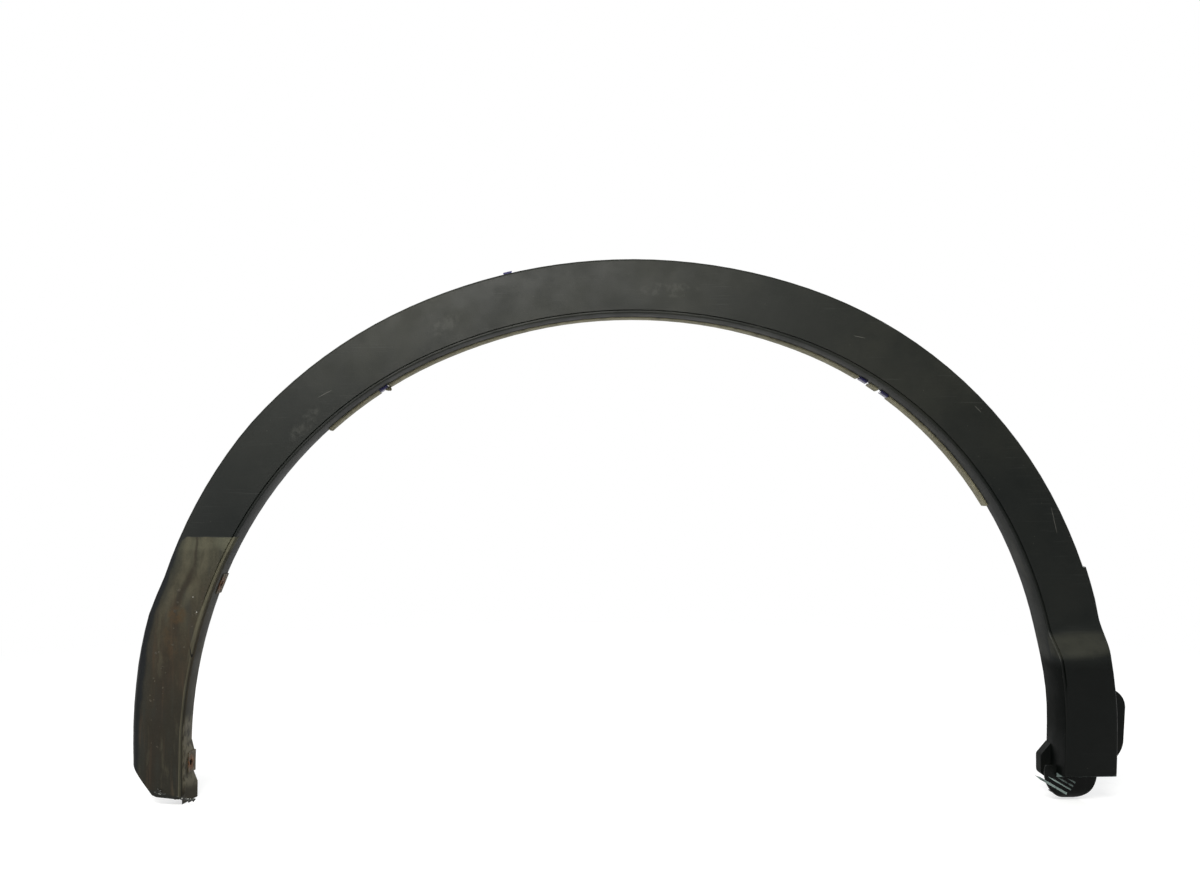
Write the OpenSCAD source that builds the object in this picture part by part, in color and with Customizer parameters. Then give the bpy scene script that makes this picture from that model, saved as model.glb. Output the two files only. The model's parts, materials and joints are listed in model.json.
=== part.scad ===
// Moulded wheel arch trim, seen from outside the car: +X to the right, +Y into the car, +Z up.
// The origin lies on the axis of the crown clip, in the plane of the body panel.
// Places along the trim are travels of its crease from the crown, positive down the right leg.

/* [Crease line] */
// Radius of the crease over the crown
crown_r = 494; // [440:2:560]
// Turn of the crown stretch towards the right leg
right_crown_turn = 19; // [15:0.5:24]
// Radius of the right shoulder
right_shoulder_r = 383; // [360:1:410]
// Turn of the right shoulder
right_shoulder_turn = 44.5; // [40:0.5:48]
// Radius of the right leg
right_leg_r = 432.5; // [400:0.5:480]
// Turn of the right leg
right_leg_turn = 27.5; // [24:0.5:30]
// Radius of the nearly straight right foot
right_foot_r = 1470; // [1000:10:3000]
// Turn of the crown stretch towards the left leg
left_crown_turn = 24; // [20:0.5:28]
// Radius of the left shoulder
left_shoulder_r = 415; // [390:1:440]
// Turn of the left shoulder
left_shoulder_turn = 41.7; // [38:0.1:45]
// Radius of the left leg
left_leg_r = 457; // [420:1:500]
// Turn of the left leg
left_leg_turn = 23.4; // [20:0.1:26]
// Radius of the nearly straight left foot
left_foot_r = 6000; // [3000:100:9000]
// Travel from the crown to the end of the right leg
right_run = 710; // [700:1:720]
// Travel from the crown to the end of the left leg
left_run = 757; // [740:1:770]

/* [Section] */
// Width of the face from the crease to the outer edge, over the crown
face_w = 56.3; // [50:0.1:64]
// How much narrower the face gets at the slimmest place of the left leg
left_slimming = 5.5; // [2:0.1:7]
// How much narrower the face is at the kink of the left leg
kink_slimming = 2.5; // [1:0.1:4]
// How much narrower the face is at the end of the left leg
foot_slimming = 6.4; // [4:0.1:7]
// How much narrower the face is beside the ramp of the right foot
ramp_slimming = 1.3; // [0:0.1:3]
// Distance of the crease in front of the body panel
crease_out = 22; // [18:0.5:28]
// Distance of the outer edge in front of the body panel
edge_out = 13; // [10:0.5:16]
// Gap between the outer lip and the body panel
lip_gap = 2.5; // [1.5:0.1:4]
// How far the flange reaches behind the body panel
flange_back = 16; // [10:0.5:24]
// Wall thickness
wall = 2.8; // [2.2:0.1:3.4]
// Radius of the outer edge
edge_r = 3; // [2.9:0.1:5]
// Radius of the outer edge round the left foot
foot_edge_r = 9; // [6:0.5:11]
// Rise of the crowned face over a flat one
face_rise = 0.7; // [0:0.1:1.5]
// Radius of the corner inside the crease
fillet_r = 2.4; // [1:0.1:4]

/* [Shadow groove] */
// Width of the ridge between the flange and the groove
ridge_w = 1.3; // [1:0.1:2]
// Width of the groove along the crease
groove_w = 2.2; // [1.5:0.1:3]
// Depth of the groove
groove_d = 1.4; // [0.8:0.1:1.6]
// Radius of the crease's rounded corner
crease_r = 0.9; // [0.4:0.1:1]

/* [Right foot] */
// How far the right foot stands in front of the face
foot_proud = 20; // [10:1:26]
// Travel to the top of the ramp
ramp_at = 566; // [556:1:574]
// Length of the ramp
ramp_run = 34; // [24:1:44]
// Travel to the step in the outer lip
step_at = 522; // [510:1:540]
// Height of the step in the outer lip
step_h = 3; // [1:0.1:4]
// Travel along which the step keeps its height
step_hold = 30; // [20:1:42]
// How far the flange leans outwards in the right foot
foot_draft = 3; // [0:0.5:5]
// Slope of the bottom of the right foot
foot_slope = 14; // [8:1:18]

/* [Side ear] */
// How far the ear stands out past the outer edge
ear_out = 21.5; // [14:0.5:24]
// Length of the ear along the foot
ear_run = 80; // [70:1:88]
// Thickness of the ear
ear_t = 3; // [2:0.1:4]
// Radius of the ear's upper corner
ear_r = 19; // [10:1:22]
// Radius of the ear's long lower curve
ear_low_r = 27; // [22:1:32]

/* [Lug] */
// How far the rounded lug stands in from the flange
lug_in = 10.5; // [7:0.5:14]
// Height of the lug, with its chamfer
lug_h = 38; // [34:1:44]
// Radius of the lug's corners
lug_r = 5; // [3:0.5:6]
// Depth of the lug along the flange
lug_depth = 14; // [10:0.5:18]

/* [Tongue] */
// Radius of the ribbed tongue's rounded outline
tongue_r = 26.5; // [22:0.5:30]
// Distance of the tongue's middle from the crease
tongue_in = 15.5; // [10:0.5:22]
// How far the tongue hangs below the foot
tongue_drop = 29; // [24:0.5:32]
// Wall of the tongue
tongue_t = 2.4; // [1.8:0.1:3]
// Radius of the curl at the tongue's lower edge
tongue_curl_r = 12; // [9:0.5:15]
// Height of the ribs on the tongue
tongue_rib_h = 1.6; // [1:0.1:2.5]
// Width of the ribs on the tongue
tongue_rib_w = 1.4; // [1:0.1:2.2]
// How steeply the ribs and the fin fall
tongue_rib_fall = 30; // [20:1:40]
// Length of the long fin that reaches past the tongue
fin_run = 36; // [28:1:42]
// Width of the fin
fin_w = 2.2; // [1.4:0.1:3]

/* [Left foot] */
// Width of the bevel at the outer bottom corner
bevel_w = 22; // [14:1:26]
// Height of the bevel
bevel_h = 29; // [18:1:32]
// How much higher the bottom of the face is beside the bevel than at the crease
left_foot_rise = 3.5; // [0:0.5:6]
// How far the tab of the flange hangs below the face
tab_drop = 6.4; // [4:0.1:9]
// How far the flange leans inwards where the lower nut sits
seat_lean = 2.7; // [1:0.1:4]
// How far the tab leans inwards at its rear edge
tab_lean = 6.8; // [4:0.1:9]
// Travel over which the flange bends on either side of the lower nut
tab_bend = 10; // [6:1:12]

/* [Back ribs] */
// Thickness of a gusset rib
rib_t = 1.6; // [1.2:0.1:2.4]
// Width of a rib's foot on the face, as far as its tall part
rib_heel = 16; // [10:1:22]
// Ribs between two neighbouring clips
ribs_per_clip = 2; // [1:1:3]

/* [Body clips] */
// Distance from one body clip to the next along the crease
clip_pitch = 115; // [100:1:118]
// Clips on each side of the crown clip
clips_each_side = 4; // [3:1:4]
// Distance of a clip's axis from the outer edge
clip_to_edge = 16.3; // [14:0.1:18]
// Radius of a clip's neck
neck_r = 3.2; // [2.6:0.1:3.8]
// Radius of a clip's head, held in its seat
head_r = 6; // [5:0.1:7]
// Radius of a clip's collar, against the panel
collar_r = 7.5; // [6:0.1:9]
// Length of a clip's stem behind the panel
stem_len = 15; // [12:0.5:20]
// Radius of a clip's barbs
barb_r = 4.4; // [3.8:0.1:5]
// Barbs on a clip's stem
barbs = 3; // [2:1:4]
// Clearance between a clip and its seat
clip_gap = 0.2; // [0.1:0.05:0.4]
// Thickness of the seat's slotted plate
seat_plate = 2; // [1.6:0.1:2.6]
// Thickness of the seat's walls
seat_wall = 1.8; // [1.4:0.1:2.4]
// Half the width of a seat
seat_half = 10; // [9:0.5:11]
// Thickness of a clip's head
head_t = 1.6; // [1.2:0.1:2]
// Thickness of a clip's collar
collar_t = 1.6; // [1.2:0.1:2]

/* [Edge clips] */
// Length of an edge clip along the flange
edge_clip_run = 9; // [6:0.5:12]
// Thickness of an edge clip's legs
edge_clip_t = 2.6; // [1.8:0.1:3.2]
// Thickness of the legs of the clip on the outer lip
lip_clip_t = 1.9; // [1.4:0.1:2.6]
// Reach of an edge clip from the edge
edge_clip_reach = 8.5; // [7:0.5:10]
// Clearance between an edge clip and the wall that it grips
edge_clip_gap = 0.2; // [0.1:0.05:0.4]
// Travel to the clip on the left of the crown
left_edge_clip_at = -270; // [-280:1:-262]
// Travel to the first clip on the right
right_edge_clip_at = 249; // [240:1:252]
// Travel to the second clip on the right
far_edge_clip_at = 275; // [272:1:279]
// Travel to the clip on the outer lip
lip_clip_at = -116; // [-130:1:-100]

/* [Spring nuts] */
// Radius of the nut's thread core
thread_r = 2.5; // [1.8:0.1:3]
// Radius of the drawn collar round the thread
nut_collar_r = 4.4; // [3.6:0.1:5]
// Height of the drawn collar
nut_collar_h = 4; // [3:0.1:5]
// Sheet thickness of the nut
nut_t = 1.1; // [0.8:0.1:1.4]
// Width of the nut along the flange
nut_w = 21; // [16:0.5:24]
// Length of the nut from the flange's edge
nut_len = 21; // [17:0.5:24]
// Distance of the thread from the flange's edge
nut_hole_in = 11; // [9:0.5:12]
// Radius of the hole through the flange
screw_hole_r = 3.5; // [3.2:0.1:4]
// Clearance between the nut and the flange
nut_gap = 0.2; // [0.1:0.05:0.4]
// Travel to the upper nut
upper_nut_at = -532; // [-545:1:-520]
// Distance of the lower nut from the end of the left leg
lower_nut_up = 41; // [38:1:46]

/* [Seal strips] */
// Thickness of the seal on the legs
seal_t = 2.3; // [1.5:0.1:3]
// Thickness of the seal over the crown
crown_seal_t = 1.2; // [0.8:0.1:2]
// Width of the seal
seal_w = 16; // [12:0.5:20]
// How far the seal reaches past the flange's edge
seal_over = 9; // [6:0.5:12]
// Gap between the seal and the flange
seal_gap = 0.1; // [0.05:0.05:0.3]
// Travel to the outer end of the left seal
left_seal_end = -340; // [-360:1:-320]
// Travel to the outer end of the right seal
right_seal_end = 433; // [410:1:445]
// Room between a seal and the clip beside it
seal_clip_room = 1; // [0.5:0.1:2]
// Length of the short seal piece between the right clips
short_seal_run = 11; // [8:0.5:13]

/* [Hidden] */
black_plastic = [0.17, 0.18, 0.18];
clip_blue = [0.16, 0.14, 0.48];
rust = [0.45, 0.25, 0.12];
foam_beige = [0.58, 0.55, 0.42];
$fn = 48;

// Tangent arcs of the crease, each with its radius and its turn; the last one runs on to the end
right_arcs = [[crown_r, right_crown_turn], [right_shoulder_r, right_shoulder_turn],
    [right_leg_r, right_leg_turn], [right_foot_r, 1]];
left_arcs = [[crown_r, left_crown_turn], [left_shoulder_r, left_shoulder_turn],
    [left_leg_r, left_leg_turn], [left_foot_r, 1]];

// Depths along Y, with the body panel at zero
crease_y = -crease_out;
lip_y = -lip_gap;
foot_front_y = crease_y - foot_proud;
far_y = 60;

// Distances across the face, outwards from the crease
face_tilt = atan2(crease_out - edge_out, face_w);
face_points = [0.3, 0.6];
groove_end = ridge_w + groove_w;
groove_slope = 0.3;
clip_in = face_w - clip_to_edge;
mid_round = 1 - cos(45);
edge_steps = 5;
min_r = 0.1;

// Travels at which the section changes
slim_from = -390;
slim_at = -542;
kink_at = -578;
wide_until = -624;
round_run = 62;
left_foot_run = 42;
foot_from = -left_run + left_foot_run;
lower_nut_at = -left_run + lower_nut_up;
nut_low = lower_nut_at - nut_w / 2 - 1;
nut_high = lower_nut_at + nut_w / 2 + 1;
ramp_end = ramp_at + ramp_run;
block_lead = 50;
block_at = ramp_end + block_lead;
step_run = 0.8;
fade_run = 50;

// Spacing of the rings along the sweep, and how far solids reach into each other
station_pitch = 18;
ramp_pitch = 4;
foot_spare = 22;
bite = 0.7;

// Steps smoothly from 0 at a to 1 at b
function ease(a, b, s) = let (t = min(max((s - a) / (b - a), 0), 1)) t * t * (3 - 2 * t);

// Point and turn after a travel s along tangent arcs that start level at the crown
function travel(arcs, s, p = [0, 0], a = 0, i = 0) =
    let (
        r = arcs[i][0],
        run = r * arcs[i][1] * PI / 180,
        last = i == len(arcs) - 1,
        step = last ? s : min(s, run),
        b = a + step / r * 180 / PI,
        q = p + r * [sin(b) - sin(a), cos(b) - cos(a)]
    )
    last || s <= run ? [q[0], q[1], b] : travel(arcs, s - run, q, b, i + 1);

// Place on the crease at travel s: x, z and the turn from level, negative on the left
function place(s) =
    let (q = travel(s < 0 ? left_arcs : right_arcs, abs(s)), side = s < 0 ? -1 : 1)
    [side * q[0], q[1] - clip_in, side * q[2]];

// A point of the section plane at travel s, from its distance n out of the crease and its depth y
function lift(s, q) =
    let (p = place(s)) [p[0] + q[0] * sin(p[2]), q[1], p[1] + q[0] * cos(p[2])];

// Sizes of the section that change along the trim: how proud the right foot stands,
// how far the lip steps out, how narrow and how wide the face is, how the flange leans,
// the radius of the outer edge and the depth of the groove
function proud(s) = foot_proud * ease(ramp_at, ramp_end, s);
function step_out(s) =
    step_h * (ease(step_at - step_run, step_at, s) - ease(step_at + step_hold, ramp_end, s));
function narrowing(s) = lookup(s, [
    [-left_run, foot_slimming], [foot_from, foot_slimming - 0.3], [wide_until, kink_slimming],
    [kink_at, kink_slimming], [slim_at, left_slimming], [(slim_from + slim_at) / 2, left_slimming / 2],
    [slim_from, 0], [step_at, 0], [ramp_end, ramp_slimming], [block_at, 0]
]);
function width(s) = face_w + step_out(s) - narrowing(s);
function lean(s) = seat_lean * ease(nut_high + tab_bend, nut_high, s)
    + (tab_lean - seat_lean) * ease(nut_low, nut_low - tab_bend, s)
    - foot_draft * ease(ramp_at, block_at, s);
function edge_radius(s) = edge_r + (foot_edge_r - edge_r) * ease(kink_at, kink_at - round_run, s);
function groove_depth(s) =
    groove_d * ease(kink_at, kink_at + fade_run, s) * (1 - ease(ramp_end, ramp_end + fade_run, s));

// Depth of the visible face, and of its hidden side, at a distance n out of the crease
function face_y(s, n) = crease_y - proud(s) + n * tan(face_tilt)
    - face_rise * 4 * (n / face_w) * (1 - n / face_w);
function inner_y(s, n) = face_y(s, n) + wall / cos(face_tilt);
// Distance of the flange's visible side from the crease at a depth y
function flange_n(s, y) = -lean(s) * (y - face_y(s, 0)) / (flange_back - face_y(s, 0));

// Round of the outer edge from the lip to the face, as points at a radius r about one centre
function edge_round(s, r) =
    let (n = width(s) - edge_radius(s), c = [n, face_y(s, n) + edge_radius(s) / cos(face_tilt)])
    [for (i = [0 : edge_steps]) let (a = -(90 - face_tilt) * i / edge_steps) c + r * [cos(a), sin(a)]];

function backwards(v) = [for (i = [len(v) - 1 : -1 : 0]) v[i]];

// Visible side of the section at travel s, from the lip over the face and the groove to the flange
function visible_side(s) =
    let (foot = face_y(s, 0), floor_d = groove_depth(s))
    concat(
        [[width(s), lip_y]],
        edge_round(s, edge_radius(s)),
        [for (k = backwards(face_points)) [k * width(s), face_y(s, k * width(s))]],
        [[groove_end + groove_slope, face_y(s, groove_end)]],
        [[groove_end - groove_slope, face_y(s, groove_end) + floor_d]],
        [[ridge_w + groove_slope, foot + floor_d], [ridge_w, foot]],
        [[mid_round * crease_r, foot + mid_round * crease_r], [0, foot + crease_r]],
        [[flange_n(s, flange_back), flange_back]]
    );

// Hidden side of the section at travel s, back from the flange to the lip
function hidden_side(s) =
    let (foot = inner_y(s, wall), turn = wall + mid_round * fillet_r)
    concat(
        [[wall + flange_n(s, flange_back), flange_back]],
        [[wall, foot + fillet_r], [turn, foot + mid_round * fillet_r]],
        [[wall + fillet_r, inner_y(s, wall + fillet_r)]],
        [for (k = face_points) [k * width(s), inner_y(s, k * width(s))]],
        backwards(edge_round(s, max(edge_radius(s) - wall, min_r))),
        [[width(s) - wall, lip_y]]
    );

// Section of the space behind the face as far as a depth, a little larger so that it meets the walls
function hollow_section(s, depth = lip_y) =
    let (edge = width(s) - wall, r = edge_radius(s), corner = edge - r / 2)
    backwards([
        [edge + bite, depth], [edge + bite, inner_y(s, edge) + r / 3], [corner, inner_y(s, corner) - bite],
        [wall - bite, inner_y(s, wall) - bite], [wall - bite + flange_n(s, depth), depth]
    ]);

// Travels from a to b in even steps no longer than pitch, without b itself
function steps(a, b, pitch) = let (n = ceil((b - a) / pitch)) [for (i = [0 : n - 1]) a + (b - a) * i / n];
// Travels through all the marks, in even steps between each two
function stations(marks, pitch) = concat(
    [for (i = [0 : len(marks) - 2]) each steps(marks[i], marks[i + 1], pitch)],
    [marks[len(marks) - 1]]
);
body_stations = concat(
    stations([-left_run, nut_low - tab_bend], station_pitch),
    stations([nut_low, nut_high], station_pitch),
    stations([nut_high + tab_bend, wide_until, kink_at, slim_at, 0, step_at - step_run], station_pitch),
    steps(step_at, ramp_at, station_pitch),
    steps(ramp_at, ramp_end, ramp_pitch),
    stations([ramp_end, right_run + foot_spare], station_pitch)
);

// Solid swept through rings of points that all have the same count
module sweep(rings) {
    n = len(rings[0]);
    m = len(rings);
    sides = [for (i = [0 : m - 2], j = [0 : n - 1])
        [i * n + j, i * n + (j + 1) % n, (i + 1) * n + (j + 1) % n, (i + 1) * n + j]];
    first = [for (j = [n - 1 : -1 : 0]) j];
    last = [for (j = [0 : n - 1]) (m - 1) * n + j];
    polyhedron(points = [for (r = rings) each r], faces = concat(sides, [first, last]));
}

// Solid that fills the space behind the face between two travels
module hollow_between(a, b) {
    sweep([for (s = stations([a, b], station_pitch)) [for (q = hollow_section(s)) lift(s, q)]]);
}

// Local frame on the crease: X outwards in the face, Y into the car, Z along the trim to the left
module at(s) {
    p = place(s);
    translate([p[0], 0, p[1]]) rotate([0, p[2] - 90, 0]) children();
}

// Flat outline in X and Z, extruded from depth y0 to depth y1
module along_depth(y0, y1) {
    translate([0, y1, 0]) rotate([90, 0, 0]) linear_extrude(y1 - y0) children();
}

// Bent wall with its visible face, groove, outer lip and flange
module shell() {
    sweep([for (s = body_stations)
        [for (q = backwards(concat(visible_side(s), hidden_side(s)))) lift(s, q)]]);
}

// Travels of the body clips, and of the ribs between them where no spring nut is in the way
clip_travels = [for (k = [-clips_each_side : clips_each_side]) k * clip_pitch];
rib_pitch = clip_pitch / (ribs_per_clip + 1);
nut_room = nut_w / 2 + 2 * rib_t;
rib_travels = [for (k = [-clips_each_side - 1 : clips_each_side], j = [1 : ribs_per_clip])
    let (s = k * clip_pitch + j * rib_pitch) if (abs(s - upper_nut_at) > nut_room) s];

// Rib behind the face: low across the face and tall beside the flange, clear of the edge clips
rib_low = 1;
rib_fall = 4;
rib_clear = edge_clip_reach + 1;
module gusset_rib(s) {
    at(s) translate([0, 0, -rib_t / 2]) linear_extrude(rib_t) intersection() {
        polygon(hollow_section(s, flange_back));
        polygon([[0, foot_front_y], [2 * face_w, foot_front_y], [2 * face_w, lip_y - rib_low - rib_fall],
            [width(s), lip_y - rib_low - rib_fall], [rib_heel + wall, lip_y - rib_low],
            [0, flange_back - rib_clear]]);
    }
}

// Seat of a body clip: three walls and a slotted plate, open towards the outer edge
seat_top = -clip_gap - collar_t;
seat_plate_y = seat_top - seat_plate;
module clip_seat(s) {
    low = clip_in - seat_half;
    high = clip_in + seat_half;
    slot_half = neck_r + clip_gap;
    at(s) difference() {
        union() {
            for (side = [-1, 1]) translate([0, 0, side * (seat_half - seat_wall / 2) - seat_wall / 2])
                linear_extrude(seat_wall) polygon([
                    [low, inner_y(s, low) - bite], [high, inner_y(s, high) - bite],
                    [high, seat_top], [low, seat_top]
                ]);
            translate([low, inner_y(s, low) - bite, -seat_half])
                cube([seat_wall, seat_top - inner_y(s, low) + bite, 2 * seat_half]);
            translate([low, seat_plate_y, -seat_half]) cube([2 * seat_half, seat_plate, 2 * seat_half]);
        }
        translate([clip_in, seat_plate_y - bite, 0]) rotate([-90, 0, 0])
            cylinder(r = slot_half, h = seat_plate + 2 * bite);
        translate([clip_in, seat_plate_y - bite, -slot_half])
            cube([seat_half + bite, seat_plate + 2 * bite, 2 * slot_half]);
    }
}

// Bottom of the right foot: a plane that falls towards the back
foot_x = place(right_run)[0];
foot_low = place(right_run)[1];
foot_outer_x = foot_x + width(right_run);
module below_foot(raised, thickness) {
    translate([foot_x - face_w, foot_front_y, foot_low + raised]) rotate([-foot_slope, 0, 0])
        translate([0, -far_y / 2, -thickness]) cube([3 * face_w, 2.5 * far_y, thickness]);
}

// Wall that closes the right foot at the bottom
module foot_floor() {
    intersection() {
        hollow_between(block_at, right_run + foot_spare);
        below_foot(wall, wall);
    }
}

// Everything below the left foot: the bevel, the rising bottom of the face and the tab's low edge
left_x = place(-left_run)[0];
left_outer_x = left_x - width(-left_run);
tab_rise = 3.6;
tab_low = place(-left_run)[1] + tab_rise;
face_low = tab_low + tab_drop;
tab_step = 1;
bevel_low = face_low + left_foot_rise;
bevel_sag = 1;
module below_left(raised, depth) {
    translate([0, 0, raised]) along_depth(-depth, depth) polygon([
        [left_outer_x - bevel_w / 2, bevel_low + 1.5 * bevel_h],
        [left_outer_x, bevel_low + bevel_h],
        [left_outer_x + bevel_w / 2, bevel_low + bevel_h / 2 - bevel_sag],
        [left_outer_x + bevel_w, bevel_low],
        [left_outer_x + 1.2 * bevel_w, bevel_low - left_foot_rise / 2],
        [left_x + tab_step, face_low],
        [left_x + tab_step, tab_low],
        [left_x + bevel_w, tab_low],
        [left_x + bevel_w, tab_low - far_y],
        [left_outer_x - bevel_w / 2, tab_low - far_y]
    ]);
}

// Wall that closes the left foot at the bottom
module left_floor() {
    difference() {
        intersection() {
            hollow_between(-left_run, nut_high);
            below_left(wall, far_y);
        }
        below_left(0, far_y + bite);
    }
}

// Rounded lug at the bottom of the right flange, chamfered towards its upper end
module locating_lug() {
    rear_x = foot_x + foot_draft;
    rear_low = foot_low - (flange_back - foot_front_y) * tan(foot_slope);
    front_y = flange_back - lug_depth;
    back_y = flange_back - bite;
    hull() {
        for (up = [2 * lug_r, lug_h / 2 + lug_r]) along_depth(front_y, back_y)
            translate([rear_x - lug_in + lug_r, rear_low + up]) circle(r = lug_r);
        translate([rear_x, front_y, rear_low]) cube([wall / 2, back_y - front_y, lug_h]);
    }
}

// Flat ear on the outer side of the right foot, its lower round set in from its tip and its bottom
ear_skew = 2;
module side_ear() {
    root_x = foot_outer_x - wall + bite;
    tip_x = foot_outer_x + ear_out;
    intersection() {
        hull() {
            along_depth(-ear_t, 0) translate([tip_x - ear_r, foot_low + ear_run - ear_r])
                circle(r = ear_r);
            along_depth(-ear_t, 0) translate([tip_x - ear_skew - ear_low_r, foot_low + ear_low_r + ear_skew])
                circle(r = ear_low_r);
        }
        translate([root_x, -ear_t, foot_low]) cube([2 * ear_out, ear_t, 2 * ear_run]);
    }
}

// Ribbed tongue that hangs below the right foot and curls back at its lower edge
tongue_back = 4;
tongue_room = 1.5;
curl_run = 1.6;
tongue_y = crease_y + tongue_back;
tongue_low = foot_low - tongue_drop;
tongue_x = foot_x + tongue_in;
tongue_front_y = tongue_y - tongue_rib_h - bite;
module tongue_shell(out, thickness) {
    r = tongue_curl_r + out;
    translate([tongue_x - tongue_room * tongue_r, tongue_y + tongue_curl_r, tongue_low + tongue_curl_r])
        rotate([90, 0, 90]) linear_extrude(2 * tongue_room * tongue_r) {
            translate([-r, 0]) square([thickness, tongue_drop - tongue_curl_r + 2 * wall]);
            difference() {
                intersection() {
                    circle(r = r);
                    translate([-r, -r]) square([curl_run * r, r]);
                }
                circle(r = r - thickness);
            }
        }
}
module tongue_outline(inset) {
    translate([tongue_x, tongue_low + tongue_r]) circle(r = tongue_r - inset);
}

// A bar that lies across the tongue and falls to the right, pointed at its left end
point_run = 6;
module tongue_bar(x, z, run, w) {
    translate([tongue_x + x, tongue_low + z]) rotate(-tongue_rib_fall)
        polygon([[0, 0], [point_run, -w / 2], [run, -w / 2], [run, w / 2], [point_run, w / 2]]);
}
tongue_ribs = 3;
rib_step = 10;
rib_x = -24;
rib_z = 24;
rib_run = 27;
fin_x = -36;
fin_z = 24.6;
module ribbed_tongue() {
    intersection() {
        tongue_shell(0, tongue_t);
        along_depth(tongue_front_y, flange_back) tongue_outline(0);
    }
    intersection() {
        tongue_shell(tongue_rib_h, tongue_rib_h + tongue_t / 2);
        along_depth(tongue_front_y, flange_back) intersection() {
            union() for (k = [0 : tongue_ribs - 1])
                tongue_bar(rib_x + rib_step * k, rib_z - k, rib_run * (1 - k / tongue_ribs), tongue_rib_w);
            tongue_outline(bite);
        }
    }
    along_depth(tongue_y - tongue_rib_h, tongue_y + tongue_t / 2) tongue_bar(fin_x, fin_z, fin_run, fin_w);
}

// Frame at the flange's rear edge: X along the flange's normal, Y into the car
module at_flange_edge(s) {
    tilt = atan2(lean(s), flange_back - crease_y);
    at(s) translate([flange_n(s, flange_back), flange_back, 0]) rotate([0, 0, tilt]) children();
}

// Hole through the flange for the screw of a spring nut
module flange_hole(s) {
    at_flange_edge(s) translate([-wall, -nut_hole_in, 0]) rotate([0, 90, 0])
        cylinder(r = screw_hole_r, h = 3 * wall);
}

module arch_moulding() {
    color(black_plastic) difference() {
        union() {
            difference() {
                shell();
                below_foot(0, far_y);
                below_left(0, far_y);
            }
            for (s = rib_travels) gusset_rib(s);
            for (s = clip_travels) clip_seat(s);
            foot_floor();
            left_floor();
            locating_lug();
            side_ear();
            ribbed_tongue();
        }
        flange_hole(upper_nut_at);
        flange_hole(lower_nut_at);
    }
}

// Turned profile of a push-in clip, from its head in the seat to the tip of its stem
barb_waist = 0.8;
tip_run = 2.5;
module push_in_clip() {
    head_top = seat_plate_y - clip_gap;
    core_r = neck_r - barb_waist;
    pitch = stem_len / (barbs + 1);
    rotate([-90, 0, 0]) {
        translate([0, 0, head_top - head_t]) cylinder(r = head_r, h = head_t);
        translate([0, 0, head_top - head_t]) cylinder(r = neck_r, h = head_t - head_top);
        translate([0, 0, -collar_t]) cylinder(r = collar_r, h = collar_t);
        translate([0, 0, -bite]) cylinder(r = core_r, h = stem_len - tip_run + 2 * bite);
        for (k = [1 : barbs]) translate([0, 0, k * pitch])
            cylinder(r1 = barb_r, r2 = core_r, h = barb_waist * pitch);
        translate([0, 0, stem_len - tip_run]) cylinder(r1 = core_r, r2 = core_r / 2, h = tip_run);
    }
}

module body_clips() {
    color(clip_blue) for (s = clip_travels) at(s) translate([clip_in, 0, 0]) push_in_clip();
}

// Clip pushed over an edge: X across the wall, Y towards the edge, which lies at the origin
clip_nose = 1;
module edge_clip(reach, thickness) {
    inner = -edge_clip_gap - thickness;
    outer = wall + edge_clip_gap + thickness;
    back = edge_clip_gap + thickness;
    translate([0, 0, -edge_clip_run / 2]) linear_extrude(edge_clip_run) difference() {
        polygon([
            [inner + clip_nose, -reach], [inner, clip_nose - reach], [inner, back - clip_nose],
            [inner + clip_nose, back], [outer - clip_nose, back], [outer, back - clip_nose],
            [outer, clip_nose - reach], [outer - clip_nose, -reach]
        ]);
        translate([-edge_clip_gap, -reach - bite])
            square([wall + 2 * edge_clip_gap, reach + bite + edge_clip_gap]);
    }
}

module edge_clips() {
    lip_reach = edge_out - lip_gap - wall - 2 * edge_clip_gap;
    color(clip_blue) {
        for (s = [left_edge_clip_at, right_edge_clip_at, far_edge_clip_at])
            at_flange_edge(s) edge_clip(edge_clip_reach, edge_clip_t);
        at(lip_clip_at) translate([width(lip_clip_at) - wall, lip_y, 0])
            edge_clip(lip_reach, lip_clip_t);
    }
}

// Folded sheet nut that straddles the flange, with its thread collar on the hidden side
nut_short = 4;
module spring_nut() {
    near_x = -nut_gap - nut_t;
    far_x = wall + nut_gap;
    leg = nut_len + nut_t;
    difference() {
        union() {
            translate([near_x, nut_short - nut_len + nut_gap, -nut_w / 2]) cube([nut_t, leg - nut_short, nut_w]);
            translate([far_x, -nut_len + nut_gap, -nut_w / 2]) cube([nut_t, leg, nut_w]);
            translate([near_x, nut_gap, -nut_w / 2]) cube([wall + 2 * (nut_gap + nut_t), nut_t, nut_w]);
            translate([far_x, -nut_hole_in, 0]) rotate([0, 90, 0])
                cylinder(r = nut_collar_r, h = nut_collar_h);
        }
        translate([far_x - bite, -nut_hole_in, 0]) rotate([0, 90, 0])
            cylinder(r = thread_r, h = nut_collar_h + 2 * bite);
        translate([near_x - nut_t / 2, -nut_hole_in, 0]) rotate([0, 90, 0])
            cylinder(r = screw_hole_r, h = 2 * nut_t);
    }
}

module spring_nuts() {
    color(rust) for (s = [upper_nut_at, lower_nut_at]) at_flange_edge(s) spring_nut();
}

// Foam strip stuck along the flange's wheel side, squeezed thinner over the crown
thin_until = 60;
thick_from = 200;
function seal_thickness(s) = crown_seal_t + (seal_t - crown_seal_t) * ease(thin_until, thick_from, abs(s));
function seal_section(s) =
    let (t = seal_thickness(s), rear = flange_back + seal_over, front = rear - seal_w)
    [[-seal_gap, front], [-seal_gap, rear], [-seal_gap - t, rear], [-seal_gap - t, front + t],
        [-seal_gap - t / 2, front]];
module seal_strip(a, b) {
    color(foam_beige)
        sweep([for (s = stations([a, b], station_pitch)) [for (q = seal_section(s)) lift(s, q)]]);
}
beside_clip = edge_clip_run / 2 + seal_clip_room;

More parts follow.
